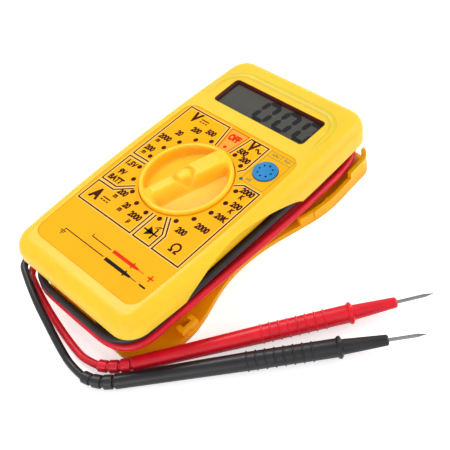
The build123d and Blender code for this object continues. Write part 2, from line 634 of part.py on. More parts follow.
# ---------------------------------------------------------------- leads
def make_glands(nodes):
    """Sleeves in the housing's wall, and each lead's own wire from there up to the board."""
    tails = []
    ends = (("black_gland", BLACK_EXIT_Z, BLACK_TAIL_REACH), ("red_gland", RED_EXIT_Z, RED_TAIL_REACH))
    for name, z, reach in ends:
        shank = Pos(NOTCH_LEFT_X - CORE_WALL / 2, EXIT_Y, z) * Rot(0, 90, 0) * Cylinder(GLAND_R, CORE_WALL)
        sleeve = Pos(NOTCH_LEFT_X + GLAND_LENGTH / 2, EXIT_Y, z) * Rot(0, 90, 0) * Cone(
            GLAND_R, LEAD_D / 2 + 0.1, GLAND_LENGTH)
        node(name, shank + sleeve, nodes)
        start = NOTCH_LEFT_X - CORE_WALL
        turn = start - reach
        path = FilletPolyline((start, EXIT_Y, z), (turn, EXIT_Y, z), (turn, EXIT_Y, BOARD_Z), radius=0.8)
        tails.append(sweep(Plane(origin=path @ 0, z_dir=path % 0) * Circle(TAIL_R), path))
    node("lead_tails", Compound(children=tails), nodes)


# The leads' routes: out of the gland, two turns round the core, round the lower left
# corner and down to the table, and along it to the probe's boot.
BLACK_ROUTE = [
    (-5.0, -43.5, 7.6), (-0.4, -43.5, 7.6), (5.6, -47.4, 7.6), (13.8, -47.9, 7.6), (20.3, -41.4, 7.6),
    (20.7, -26.0, 7.6), (20.9, -1.0, 7.6), (20.7, 24.0, 7.6), (20.5, 47.7, 7.6), (0.0, 48.1, 7.6),
    (-20.5, 47.7, 7.6), (-20.9, 24.0, 7.8), (-21.6, -1.0, 8.6), (-22.2, -26.0, 9.5),
    (-22.3, -49.8, 9.9), (0.0, -50.4, 10.0), (22.6, -49.9, 9.9), (22.4, -27.0, 9.6),
    (22.5, -2.0, 9.5), (23.0, 23.0, 9.5), (22.6, 49.6, 9.6), (0.0, 50.2, 9.7), (-22.6, 49.6, 9.8),
    (-23.4, 24.0, 10.0), (-24.6, -1.0, 10.2), (-25.6, -26.0, 10.2), (-28.4, -48.0, 8.8),
    (-19.4, -56.0, 4.6), (-7.5, -58.4, 1.9), (2.4, -60.6, 1.3), (8.4, -61.4, 1.6)]
RED_ROUTE = [
    (-5.0, -43.5, 3.4), (-0.4, -43.5, 3.4), (5.6, -47.4, 3.4), (13.8, -47.9, 3.4), (20.3, -41.4, 3.4),
    (20.7, -26.0, 3.4), (20.9, -1.0, 3.4), (20.7, 24.0, 3.4), (20.5, 47.7, 3.4), (0.0, 48.1, 3.4),
    (-20.5, 47.7, 3.4), (-21.0, 24.0, 3.7), (-22.0, -1.0, 4.5), (-22.8, -26.0, 5.7),
    (-22.9, -50.6, 6.3), (0.0, -51.9, 6.4), (23.3, -51.0, 6.3), (22.9, -28.0, 6.0),
    (23.7, -3.0, 5.9), (24.8, 24.0, 5.9), (23.6, 50.3, 5.9), (0.0, 51.0, 6.0), (-23.4, 50.3, 6.1),
    (-24.4, 24.0, 6.2), (-25.5, -1.0, 6.4), (-26.8, -26.0, 6.5), (-25.4, -48.3, 6.2),
    (-14.2, -53.4, 3.8), (-4.0, -54.7, 1.8), (4.4, -56.8, 1.3), (9.6, -57.4, 1.6)]


def probe_frame(at, heading):
    """Frame at the rear end of a handle that lies on its guard ring, +X towards the needle."""
    rise = (PROBE_GUARD_R - PROBE_REAR_R) / PROBE_GUARD_AT
    direction = Vector(cos(radians(heading)), sin(radians(heading)), rise)
    sideways = Vector(0, 0, 1).cross(direction)
    return Plane(origin=(at[0], at[1], PROBE_REAR_R), x_dir=direction, z_dir=direction.cross(sideways))


def boot_joints(bend):
    """Points along the curved boot from the handle to the cable, in the probe's frame."""
    points = [(0.0, 0.0)]
    angles = []
    for index in range(BOOT_SEGMENTS):
        angle = bend * (index + 0.5) / BOOT_SEGMENTS
        angles.append(angle)
        x, y = points[-1]
        x -= BOOT_SEGMENT_LENGTH * cos(radians(angle))
        y += BOOT_SEGMENT_LENGTH * sin(radians(angle))
        points.append((x, y))
    return points, angles


def cable_end(at, heading, bend):
    x, y = boot_joints(bend)[0][-1]
    spot = probe_frame(at, heading).from_local_coords(Vector(x, y, 0))
    return (spot.X, spot.Y, spot.Z)


def cord_radii(points):
    """Each corner's arc takes 0.45 of its shorter run."""
    radii = []
    for before, here, after in zip(points, points[1:], points[2:]):
        first = Vector(*here) - Vector(*before)
        second = Vector(*after) - Vector(*here)
        half_turn = radians(first.get_angle(second)) / 2
        radii.append(0.45 * min(first.length, second.length) / tan(half_turn))
    return radii


def make_lead(name, points, nodes):
    radii = cord_radii(points)
    path = FilletPolyline(*points, radius=radii)
    tube = sweep(Plane(origin=path @ 0, z_dir=path % 0) * Circle(LEAD_D / 2), path)
    section = pi * LEAD_D ** 2 / 4
    print(name, "length", round(path.length, 1), "volume ratio", round(tube.volume / section / path.length, 5),
          "radii", [round(r, 1) for r in radii])
    node(name, tube, nodes)


# ---------------------------------------------------------------- probes
def turned(points):
    """Solid of revolution about X from (distance, radius) points."""
    outline = [(points[0][0], 0)] + points + [(points[-1][0], 0)]
    face = make_face(Polyline(*outline, close=True))
    return revolve(face, Axis.X)


def handle_profile():
    """Slim handle with ring ribs, a rounded guard ring and a tapering nose."""
    points = [(0, PROBE_REAR_R - 0.3), (0.4, PROBE_REAR_R)]
    for index in range(PROBE_RIBS):
        x = PROBE_RIB_FIRST + index * PROBE_RIB_PITCH
        crest = PROBE_GRIP_R + PROBE_RIB_HEIGHT
        points += [(x - PROBE_RIB_WIDTH / 2, PROBE_GRIP_R), (x - PROBE_RIB_WIDTH / 6, crest),
                   (x + PROBE_RIB_WIDTH / 6, crest), (x + PROBE_RIB_WIDTH / 2, PROBE_GRIP_R)]
    half = PROBE_GUARD_WIDTH / 2
    points += [(PROBE_GUARD_AT - half, PROBE_GRIP_R), (PROBE_GUARD_AT - half / 3, PROBE_GUARD_R),
               (PROBE_GUARD_AT + half / 3, PROBE_GUARD_R), (PROBE_GUARD_AT + half, PROBE_SHOULDER_R),
               (PROBE_NOSE_END - 0.4, PROBE_NOSE_R), (PROBE_NOSE_END, PROBE_NOSE_R - 0.3)]
    return points


def make_boot(bend):
    """Ribbed strain relief, three rounded segments on a thinner neck, curved to the cable."""
    joints, angles = boot_joints(bend)
    boot = None
    for index, angle in enumerate(angles):
        share = index / (BOOT_SEGMENTS - 1)
        radius = BOOT_HANDLE_R + (BOOT_CABLE_R - BOOT_HANDLE_R) * share
        length = BOOT_SEGMENT_LENGTH
        ring = turned([(0.35, radius - 0.2), (0.55, radius), (length - 0.5, radius), (length - 0.2, radius - 0.3)])
        neck = turned([(0, BOOT_NECK_R), (length, BOOT_NECK_R)])
        x, y = joints[index]
        segment = Pos(x, y, 0) * Rot(0, 0, 180 - angle) * (ring + neck)
        if index > 0:
            segment += Pos(x, y, 0) * Sphere(BOOT_NECK_R)
        boot = segment if boot is None else boot + segment
    return boot


def make_probe(prefix, at, heading, bend, nodes):
    place = probe_frame(at, heading).location
    handle = turned(handle_profile())
    start = PROBE_NOSE_END - NEEDLE_SOCKET
    handle -= Pos((start + PROBE_NOSE_END) / 2, 0, 0) * Rot(0, 90, 0) * Cylinder(NEEDLE_R, NEEDLE_SOCKET)
    needle = turned([(start, NEEDLE_R), (NEEDLE_END - NEEDLE_POINT, NEEDLE_R), (NEEDLE_END, 0.06)])
    node(prefix + "_probe_handle", place * handle, nodes)
    node(prefix + "_probe_boot", place * make_boot(bend), nodes)
    node(prefix + "_probe_needle", place * needle, nodes)


def main():
    nodes = {}
    node("front_case", make_front_case(), nodes)
    node("face_label", make_face_label(), nodes)
    node("transistor_socket", make_transistor_socket(), nodes)
    make_display(nodes)
    node("rotary_knob", make_knob(), nodes)
    make_detents(nodes)
    node("contact_wipers", make_wipers(), nodes)
    node("rear_case", make_rear_case(), nodes)
    node("base_plate", make_base_plate(), nodes)
    node("battery_cover", make_battery_cover(), nodes)
    make_screws(nodes)
    make_battery(nodes)
    node("circuit_board", make_board(), nodes)
    make_fuse(nodes)
    make_small_parts(nodes)
    make_glands(nodes)
    probes = (("red", RED_ROUTE, RED_PROBE_AT, RED_PROBE_HEADING, RED_BOOT_BEND),
              ("black", BLACK_ROUTE, BLACK_PROBE_AT, BLACK_PROBE_HEADING, BLACK_BOOT_BEND))
    for colour, route, at, heading, bend in probes:
        make_lead(colour + "_lead", route + [cable_end(at, heading, bend)], nodes)
        make_probe(colour, at, heading, bend, nodes)
    os.makedirs("parts", exist_ok=True)
    for name, shape in nodes.items():
        export_step(shape, "parts/" + name + ".step")


main()
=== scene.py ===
"""Looks of the pocket multimeter: materials, printing, display, selector knob and leads."""

import json
import math

import bmesh
import bpy
from mathutils import Matrix, Vector


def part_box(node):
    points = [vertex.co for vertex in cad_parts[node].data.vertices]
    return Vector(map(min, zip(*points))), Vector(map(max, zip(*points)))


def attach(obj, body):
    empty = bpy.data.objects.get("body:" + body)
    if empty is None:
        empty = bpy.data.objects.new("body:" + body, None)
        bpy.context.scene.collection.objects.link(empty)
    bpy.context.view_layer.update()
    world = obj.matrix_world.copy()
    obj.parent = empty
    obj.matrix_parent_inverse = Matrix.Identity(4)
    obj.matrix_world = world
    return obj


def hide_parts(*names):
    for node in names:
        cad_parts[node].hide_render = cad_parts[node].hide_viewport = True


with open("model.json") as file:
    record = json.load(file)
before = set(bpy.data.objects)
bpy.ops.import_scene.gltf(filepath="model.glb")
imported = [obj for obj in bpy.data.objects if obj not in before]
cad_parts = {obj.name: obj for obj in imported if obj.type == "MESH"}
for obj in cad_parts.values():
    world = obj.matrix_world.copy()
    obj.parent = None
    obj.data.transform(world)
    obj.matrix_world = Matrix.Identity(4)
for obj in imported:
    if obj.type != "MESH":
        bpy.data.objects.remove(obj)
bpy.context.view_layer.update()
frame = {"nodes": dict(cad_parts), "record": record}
nodes = frame["nodes"]

# Lengths below are in millimetres and turned into metres with MM.
MM = 0.001
DIAL_Y = -2.25
LEAD_D = 2.3
FACE_HALF_W = 22.1
FACE_EDGE_R = 4.5
LABEL_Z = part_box("face_label")[1].z / MM
GLASS_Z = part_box("lcd_glass")[1].z / MM
FACE_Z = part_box("front_case")[1].z / MM
WINDOW_W, WINDOW_H, WINDOW_Y = 37.2, 11.6, 33.2


# ---------------------------------------------------------------- camera, lamps, floor
CAMERA_PLACE = (141.7, -91.9, 185.8)
CAMERA_RIGHT = (0.7039, 0.6916, -0.1617)
CAMERA_BACK = (0.5460, -0.3813, 0.7460)
LENS, SENSOR = 64.19, 36.0
FLOOR_DROP = 0.05


def make_camera():
    data = bpy.data.cameras.new("camera")
    data.lens = LENS
    data.sensor_width = SENSOR
    data.clip_start = 0.01
    camera = bpy.data.objects.new("camera", data)
    right = Vector(CAMERA_RIGHT).normalized()
    back = Vector(CAMERA_BACK).normalized()
    up = back.cross(right)
    turn = Matrix((right, up, back)).transposed().to_4x4()
    camera.matrix_world = Matrix.Translation(Vector(CAMERA_PLACE) * MM) @ turn
    bpy.context.scene.collection.objects.link(camera)
    bpy.context.scene.camera = camera


def make_lamp(name, place, target, size, power):
    data = bpy.data.lights.new(name, "AREA")
    data.shape = "DISK"
    data.size = size
    data.energy = power
    lamp = bpy.data.objects.new(name, data)
    lamp.location = place
    lamp.rotation_euler = (Vector(target) - Vector(place)).to_track_quat("-Z", "Y").to_euler()
    bpy.context.scene.collection.objects.link(lamp)


def mix_for_seen_rays(tree, lit, seen):
    """The shader seen where the camera, a gloss or a clear material looks, lit for all other rays."""
    path = tree.nodes.new("ShaderNodeLightPath")
    either = tree.nodes.new("ShaderNodeMath")
    either.operation = "MAXIMUM"
    tree.links.new(path.outputs["Is Camera Ray"], either.inputs[0])
    tree.links.new(path.outputs["Is Glossy Ray"], either.inputs[1])
    every = tree.nodes.new("ShaderNodeMath")
    every.operation = "MAXIMUM"
    tree.links.new(either.outputs[0], every.inputs[0])
    tree.links.new(path.outputs["Is Transmission Ray"], every.inputs[1])
    mix = tree.nodes.new("ShaderNodeMixShader")
    tree.links.new(every.outputs[0], mix.inputs[0])
    tree.links.new(lit, mix.inputs[1])
    tree.links.new(seen, mix.inputs[2])
    return mix.outputs[0]


def make_world():
    world = bpy.data.worlds.new("studio")
    bpy.context.scene.world = world
    world.use_nodes = True
    tree = world.node_tree
    tree.nodes.clear()
    ambient = tree.nodes.new("ShaderNodeBackground")
    ambient.inputs["Strength"].default_value = 0.46
    white = tree.nodes.new("ShaderNodeBackground")
    for shader in (ambient, white):
        shader.inputs["Color"].default_value = (1, 1, 1, 1)
    out = tree.nodes.new("ShaderNodeOutputWorld")
    mixed = mix_for_seen_rays(tree, ambient.outputs[0], white.outputs[0])
    tree.links.new(mixed, out.inputs["Surface"])


def make_floor():
    mesh = bpy.data.meshes.new("floor")
    side = 3.0
    corners = [(-side, -side, 0), (side, -side, 0), (side, side, 0), (-side, side, 0)]
    mesh.from_pydata(corners, [], [(0, 1, 2, 3)])
    floor = bpy.data.objects.new("floor", mesh)
    floor.location.z = -FLOOR_DROP * MM
    bpy.context.scene.collection.objects.link(floor)
    material = bpy.data.materials.new("floor_paper")
    material.use_nodes = True
    tree = material.node_tree
    tree.nodes.clear()
    paper = tree.nodes.new("ShaderNodeBsdfDiffuse")
    paper.inputs["Color"].default_value = (0.86, 0.86, 0.86, 1)
    lift = tree.nodes.new("ShaderNodeEmission")
    lift.inputs["Strength"].default_value = 0.55
    both = tree.nodes.new("ShaderNodeAddShader")
    tree.links.new(paper.outputs[0], both.inputs[0])
    tree.links.new(lift.outputs[0], both.inputs[1])
    out = tree.nodes.new("ShaderNodeOutputMaterial")
    tree.links.new(mix_for_seen_rays(tree, paper.outputs[0], both.outputs[0]), out.inputs["Surface"])
    mesh.materials.append(material)


make_camera()
make_lamp("key", (-0.30, 0.10, 0.52), (0, 0, 0.01), 0.28, 2.0)
make_lamp("fill", (0.40, -0.34, 0.34), (0, 0, 0.01), 0.55, 0.60)
make_lamp("side", (0.36, 0.40, 0.20), (0, 0, 0.01), 0.40, 1.45)
make_lamp("front", (0.16, -0.46, 0.10), (0, 0, 0.01), 0.36, 1.00)
make_world()
make_floor()
bpy.context.scene.view_settings.view_transform = "Standard"


# ---------------------------------------------------------------- materials
def make_surface(
    name, colour, rough=0.4, vary=0.05, blotch=90.0, grain=2600.0, bump=0.10, rough_vary=0.06,
    metallic=0.0, specular=0.22, glow=0.0, clear=0.0, hollow_shade=None, wave=None,
):
    """Procedural material: slow colour variation, fine grain as bump, and uneven gloss.

    blotch and grain are noise scales. The hollow colour is painted shade: ambient occlusion mixes it into the
    base colour in hollows, in place of the light a bright plastic throws on itself there. wave is the scale
    of fine drawn lines on a metal.
    """
    material = bpy.data.materials.new(name)
    material.use_nodes = True
    tree = material.node_tree
    shader = tree.nodes["Principled BSDF"]
    shader.inputs["Metallic"].default_value = metallic
    shader.inputs["Specular IOR Level"].default_value = specular
    shader.inputs["Subsurface Weight"].default_value = glow
    shader.inputs["Subsurface Radius"].default_value = (1.0, 0.38, 0.06)
    shader.inputs["Subsurface Scale"].default_value = 0.0030
    shader.inputs["Transmission Weight"].default_value = clear
    place = tree.nodes.new("ShaderNodeTexCoord")

    def noise(scale, detail):
        texture = tree.nodes.new("ShaderNodeTexNoise")
        texture.inputs["Scale"].default_value = scale
        texture.inputs["Detail"].default_value = detail
        tree.links.new(place.outputs["Object"], texture.inputs["Vector"])
        return texture.outputs["Fac"]

    ramp = tree.nodes.new("ShaderNodeValToRGB")
    dark = tuple(c * (1 - vary) for c in colour)
    light = tuple(min(1.0, c * (1 + vary)) for c in colour)
    ramp.color_ramp.elements[0].position = 0.32
    ramp.color_ramp.elements[0].color = (*dark, 1)
    ramp.color_ramp.elements[1].position = 0.68
    ramp.color_ramp.elements[1].color = (*light, 1)
    tree.links.new(noise(blotch, 3.0), ramp.inputs["Fac"])
    painted = ramp.outputs["Color"]
    # Painted shade: where ambient occlusion finds a hollow, the base colour turns towards the hollow colour.
    if hollow_shade:
        openness = tree.nodes.new("ShaderNodeAmbientOcclusion")
        openness.inputs["Distance"].default_value = 0.012
        openness.samples = 8
        shade_amount = tree.nodes.new("ShaderNodeMapRange")
        shade_amount.inputs["From Min"].default_value = 0.35
        shade_amount.inputs["From Max"].default_value = 1.0
        tree.links.new(openness.outputs["AO"], shade_amount.inputs["Value"])
        painted_shade = tree.nodes.new("ShaderNodeMix")
        painted_shade.data_type = "RGBA"
        painted_shade.inputs["A"].default_value = (*hollow_shade, 1)
        tree.links.new(shade_amount.outputs["Result"], painted_shade.inputs["Factor"])
        tree.links.new(painted, painted_shade.inputs["B"])
        painted = painted_shade.outputs["Result"]
    tree.links.new(painted, shader.inputs["Base Color"])

    gloss = tree.nodes.new("ShaderNodeMapRange")
    gloss.inputs["To Min"].default_value = max(0.02, rough - rough_vary)
    gloss.inputs["To Max"].default_value = rough + rough_vary
    tree.links.new(noise(blotch * 4, 4.0), gloss.inputs["Value"])
    tree.links.new(gloss.outputs["Result"], shader.inputs["Roughness"])

    relief = tree.nodes.new("ShaderNodeBump")
    relief.inputs["Strength"].default_value = bump
    relief.inputs["Distance"].default_value = 0.00006
    height = noise(grain, 2.0)
    if wave:
        lines = tree.nodes.new("ShaderNodeTexWave")
        lines.inputs["Scale"].default_value = wave
        lines.inputs["Distortion"].default_value = 1.5
        tree.links.new(place.outputs["Object"], lines.inputs["Vector"])
        blend = tree.nodes.new("ShaderNodeMath")
        blend.operation = "ADD"
        tree.links.new(height, blend.inputs[0])
        tree.links.new(lines.outputs["Fac"], blend.inputs[1])
        height = blend.outputs[0]
    tree.links.new(height, relief.inputs["Height"])
    tree.links.new(relief.outputs["Normal"], shader.inputs["Normal"])
    return material


# Colours of the painted shade in the yellow plastics' hollows.
HOLLOW_SHADE_ORANGE = (1.0, 0.27, 0.0)
HOLLOW_SHADE_YELLOW = (1.0, 0.36, 0.0)
looks = {
    "case_yellow": make_surface(
        "moulded_yellow", (0.97, 0.58, 0.030), 0.34, 0.03, 60, 2400, 0.10, glow=0.5, hollow_shade=HOLLOW_SHADE_ORANGE),
    # The rear housing parts are the case's yellow plastic, painted slightly more orange as shade for lying
    # under the case.
    "housing_yellow": make_surface(
        "moulded_yellow_shaded", (1.00, 0.58, 0.006), 0.36, 0.03, 70, 2400, 0.12, glow=0.5, hollow_shade=HOLLOW_SHADE_YELLOW),
    "label_amber": make_surface(
        "label_film", (0.97, 0.435, 0.001), 0.45, 0.025, 120, 5200, 0.05, specular=0.06),
    "knob_yellow": make_surface(
        "knob_plastic", (0.98, 0.60, 0.022), 0.32, 0.03, 110, 2600, 0.08, glow=0.5, hollow_shade=HOLLOW_SHADE_YELLOW),
    "socket_blue": make_surface("blue_nylon", (0.001, 0.20, 0.50), 0.34, 0.08, 300, 3000, 0.1),
    "display_glass": make_surface("display_glass", (0.066, 0.062, 0.052), 0.16, 0.06, 160, 6000, 0.01),
    "black_plastic": make_surface("black_plastic", (0.02, 0.02, 0.022), 0.5, 0.2, 200, 3000, 0.2),
    "grey_rubber": make_surface("silicone", (0.28, 0.28, 0.30), 0.7, 0.1, 200, 3000, 0.2),
    "silver_film": make_surface(
        "reflector_film", (0.55, 0.57, 0.54), 0.5, 0.05, 200, 4000, 0.1, metallic=0.3),
    "board_green": make_surface("solder_resist", (0.03, 0.16, 0.05), 0.35, 0.25, 500, 3500, 0.3),
    "ceramic_tan": make_surface("coated_ceramic", (0.62, 0.38, 0.16), 0.45, 0.15, 400, 3500, 0.2),
    "clear_glass": make_surface(
        "fuse_glass", (0.85, 0.92, 0.90), 0.08, 0.02, 200, 3000, 0.0, 0.02, clear=0.9),
    "nickel": make_surface("nickel_plate", (0.72, 0.69, 0.63), 0.26, 0.06, 400, 3500, 0.1, metallic=1.0),
    "battery_skin": make_surface("battery_film", (0.10, 0.10, 0.12), 0.32, 0.15, 150, 3000, 0.05),
    "steel": make_surface(
        "zinc_steel", (0.50, 0.50, 0.51), 0.34, 0.10, 600, 4000, 0.25, metallic=1.0, wave=900),
    "brass": make_surface("sprung_brass", (0.74, 0.52, 0.20), 0.30, 0.08, 400, 3500, 0.12, metallic=1.0),
    "black_pvc": make_surface(
        "black_pvc", (0.016, 0.016, 0.019), 0.38, 0.25, 220, 2200, 0.25, specular=0.3),
    "red_pvc": make_surface(
        "red_pvc", (0.72, 0.012, 0.030), 0.34, 0.12, 220, 2200, 0.22, specular=0.3, glow=0.2),
    "black_handle": make_surface(
        "black_handle", (0.012, 0.012, 0.014), 0.36, 0.2, 200, 2600, 0.22, specular=0.3),
    "red_handle": make_surface(
        "red_handle", (0.70, 0.006, 0.020), 0.34, 0.10, 200, 2600, 0.2, specular=0.3, glow=0.2),
    "needle_steel": make_surface(
        "needle_steel", (0.20, 0.20, 0.21), 0.24, 0.06, 500, 5000, 0.15, metallic=1.0, wave=1400),
}
inks = {
    "brown": make_surface("ink_brown", (0.050, 0.007, 0.003), 0.5, 0.25, 400, 5000, 0.1, specular=0.04),
    "black": make_surface("ink_black", (0.010, 0.008, 0.010), 0.5, 0.2, 400, 5000, 0.1, specular=0.04),
    "red": make_surface("ink_red", (0.78, 0.030, 0.004), 0.5, 0.12, 400, 5000, 0.1, specular=0.04),
    "green": make_surface("ink_green", (0.02, 0.20, 0.10), 0.5, 0.2, 400, 5000, 0.1, specular=0.04),
    "pale": make_surface("ink_pale", (0.96, 0.56, 0.13), 0.5, 0.04, 300, 5000, 0.05, specular=0.12),
    "orange": make_surface("ink_orange", (0.96, 0.35, 0.03), 0.45, 0.05, 300, 5000, 0.05, specular=0.12),
    "segment": make_surface(
        "display_segment", (0.007, 0.009, 0.010), 0.3, 0.2, 600, 5000, 0.02, specular=0.12),
    # Painted shade for the walls of the display's window.
    "window_wall_shade": make_surface(
        "display_window_wall_shade", (0.060, 0.006, 0.004), 0.4, 0.25, 300, 3000, 0.1, specular=0.12),
}
slots = {part["node"]: part["material_slot"] for part in frame["record"]["subparts"]}
for name, piece in nodes.items():
    for index in range(len(piece.material_slots)):
        piece.material_slots[index].material = looks[slots[name]]


# ---------------------------------------------------------------- leads
# Control points of each lead's centreline, in millimetres, from its gland to its probe.
BLACK_ROUTE = [
    (-5.0, -43.5, 7.6), (-0.4, -43.5, 7.6), (5.6, -47.4, 7.6), (13.8, -47.9, 7.6), (20.3, -41.4, 7.6),
    (20.7, -26.0, 7.6), (20.9, -1.0, 7.6), (20.7, 24.0, 7.6), (20.5, 47.7, 7.6), (0.0, 48.1, 7.6),
    (-20.5, 47.7, 7.6), (-20.9, 24.0, 7.8), (-21.6, -1.0, 8.6), (-22.2, -26.0, 9.5),
    (-22.3, -49.8, 9.9), (0.0, -50.4, 10.0), (22.6, -49.9, 9.9), (22.4, -27.0, 9.6),
    (22.5, -2.0, 9.5), (23.0, 23.0, 9.5), (22.6, 49.6, 9.6), (0.0, 50.2, 9.7), (-22.6, 49.6, 9.8),
    (-23.4, 24.0, 10.0), (-24.6, -1.0, 10.2), (-25.6, -26.0, 10.2), (-27.8, -48.6, 10.1),
    (-19.5, -52.2, 9.9), (-11.5, -55.2, 8.4), (-5.2, -57.1, 6.0), (2.2, -59.3, 3.0), (8.4, -60.6, 1.5),
    (13.470, -60.538, 1.960)]
RED_ROUTE = [
    (-5.0, -43.5, 3.4), (-0.4, -43.5, 3.4), (5.6, -47.4, 3.4), (13.8, -47.9, 3.4), (20.3, -41.4, 3.4),
    (20.7, -26.0, 3.4), (20.9, -1.0, 3.4), (20.7, 24.0, 3.4), (20.5, 47.7, 3.4), (0.0, 48.1, 3.4),
    (-20.5, 47.7, 3.4), (-21.0, 24.0, 3.7), (-22.0, -1.0, 4.5), (-22.8, -26.0, 5.7),
    (-22.6, -50.0, 7.2), (0.0, -50.7, 7.6), (23.0, -50.4, 7.3), (22.9, -28.0, 6.4),
    (23.7, -3.0, 5.9), (24.8, 24.0, 5.9), (23.6, 50.3, 5.9), (0.0, 51.0, 6.0), (-23.4, 50.3, 6.1),
    (-24.4, 24.0, 6.2), (-25.5, -1.0, 6.4), (-26.8, -26.0, 6.9), (-26.2, -48.6, 7.4),
    (-16.5, -52.0, 6.8), (-9.5, -53.9, 4.7), (-2.0, -55.4, 2.7), (5.0, -56.4, 1.5), (9.8, -56.7, 1.6),
    (14.254, -55.559, 1.954)]


def make_lead(colour, route):
    curve = bpy.data.curves.new(colour + "_cable", "CURVE")
    curve.dimensions = "3D"
    curve.bevel_depth = LEAD_D / 2 * MM
    curve.bevel_resolution = 5
    curve.resolution_u = 10
    curve.use_fill_caps = True
    spline = curve.splines.new("NURBS")
    spline.points.add(len(route) - 1)
    for point, place in zip(spline.points, route):
        point.co = (*(Vector(place) * MM), 1.0)
    spline.order_u = 3
    spline.use_endpoint_u = True
    cable = bpy.data.objects.new(colour + "_cable", curve)
    bpy.context.scene.collection.objects.link(cable)
    curve.materials.append(looks[colour + "_pvc"])
    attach(cable, "case")
    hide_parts(colour + "_lead")


make_lead("black", BLACK_ROUTE)
make_lead("red", RED_ROUTE)


# ---------------------------------------------------------------- helpers for mesh pieces
DOT_SIDES = 20


def ease(low, high, value):
    """Goes smoothly from 0 at low to 1 at high; high may be the smaller."""
    t = min(1.0, max(0.0, (value - low) / (high - low)))
    return t * t * (3 - 2 * t)


def finish_piece(name, mesh, material, body="case", smooth=False):
    """Puts a mesh into the scene with its material, on its body and with its slot."""
    piece = bpy.data.objects.new(name, mesh)
    bpy.context.scene.collection.objects.link(piece)
    mesh.materials.append(material)
    for polygon in mesh.polygons:
        polygon.use_smooth = smooth
    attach(piece, body)
    return piece


def thick_print(name, shape, z, ink, thickness=0.012):
    """A flat bmesh drawn in millimetres becomes a printed layer whose underside is at z."""
    bmesh.ops.triangulate(shape, faces=shape.faces[:])
    bmesh.ops.recalc_face_normals(shape, faces=shape.faces[:])
    for face in shape.faces:
        if face.normal.z < 0:
            face.normal_flip()
    raised = bmesh.ops.extrude_face_region(shape, geom=shape.faces[:])
    top = [v for v in raised["geom"] if isinstance(v, bmesh.types.BMVert)]
    bmesh.ops.translate(shape, verts=top, vec=(0, 0, thickness))
    bmesh.ops.recalc_face_normals(shape, faces=shape.faces[:])
    mesh = bpy.data.meshes.new(name)
    shape.to_mesh(mesh)
    shape.free()
    mesh.transform(Matrix.Scale(MM, 4) @ Matrix.Translation((0, DIAL_Y, z)))
    return finish_piece(name, mesh, ink)


def add_polygon(shape, points):
    shape.faces.new([shape.verts.new((x, y, 0)) for x, y in points])


def add_line(shape, points, width, closed=False):
    """A line of the given width along the points, mitred at its corners."""
    count = len(points)
    rails = []
    for index in range(count):
        here = Vector(points[index])
        before = Vector(points[index - 1]) if closed or index else here
        after = Vector(points[(index + 1) % count]) if closed or index < count - 1 else here
        incoming = (here - before).normalized() if before != here else (after - here).normalized()
        outgoing = (after - here).normalized() if after != here else incoming
        normal = Vector((-incoming.y - outgoing.y, incoming.x + outgoing.x)).normalized()
        reach = width / 2 / max(0.35, normal.dot(Vector((-incoming.y, incoming.x))))
        rails.append([shape.verts.new((*(here + normal * side * reach), 0)) for side in (1, -1)])
    for index in range(count if closed else count - 1):
        a, b = rails[index], rails[(index + 1) % count]
        shape.faces.new((a[0], b[0], b[1], a[1]))


def add_dot(shape, x, y, radius):
    turn = 2 * math.pi / DOT_SIDES
    add_polygon(shape, [
        (x + radius * math.cos(i * turn), y + radius * math.sin(i * turn)) for i in range(DOT_SIDES)])


def add_text(shape, text, x, y, size, weight=0.06, slant=0.12, squeeze=0.83):
    """Lettering centred on (x, y); weight thickens its strokes."""
    curve = bpy.data.curves.new("lettering", "FONT")
    curve.body = text
    curve.align_x, curve.align_y = "CENTER", "CENTER"
    curve.shear = slant
    curve.offset = weight
    curve.resolution_u = 3
    holder = bpy.data.objects.new("lettering", curve)
    bpy.context.scene.collection.objects.link(holder)
    bpy.context.view_layer.update()
    mesh = bpy.data.meshes.new_from_object(holder.evaluated_get(bpy.context.evaluated_depsgraph_get()))
    mesh.transform(Matrix.Translation((x, y, 0)) @ Matrix.Diagonal((size * squeeze, size, 0, 1)))
    shape.from_mesh(mesh)
    bpy.data.objects.remove(holder)
    bpy.data.curves.remove(curve)
    bpy.data.meshes.remove(mesh)


# ---------------------------------------------------------------- printing round the dial
# All in millimetres from the dial's centre.
LINE = 0.46
LINE_EDGE = 0.62
DOT_RING = 16.2
DOT_R = 0.78
POSITIONS = 20
SOCKET_STEP = 3
FRAMES = [
    [(-14.8, -1.9), (-21.7, -2.0), (-21.7, 23.1), (-4.6, 23.1), (-2.9, 14.9)],
    [(-14.8, -3.2), (-21.7, -3.4), (-21.7, -14.7), (-15.2, -14.7), (-10.6, -11.1)],
    [(-10.0, -12.0), (-15.0, -16.0), (-21.7, -16.0), (-21.7, -24.1), (1.9, -24.1), (1.9, -15.0)],
    [(3.2, -15.0), (3.2, -24.1), (10.0, -24.1), (10.0, -19.0), (6.3, -13.6)],
    [(7.4, -13.2), (11.2, -18.8), (11.2, -24.1), (21.8, -24.1), (21.8, 8.0), (15.8, 8.0), (13.4, 6.2)],
    [(3.1, 15.0), (4.6, 23.1), (11.7, 23.1), (11.7, 12.7), (10.3, 10.9)],
]
BIG, NUMBER, UNIT = 5.4, 2.75, 2.3
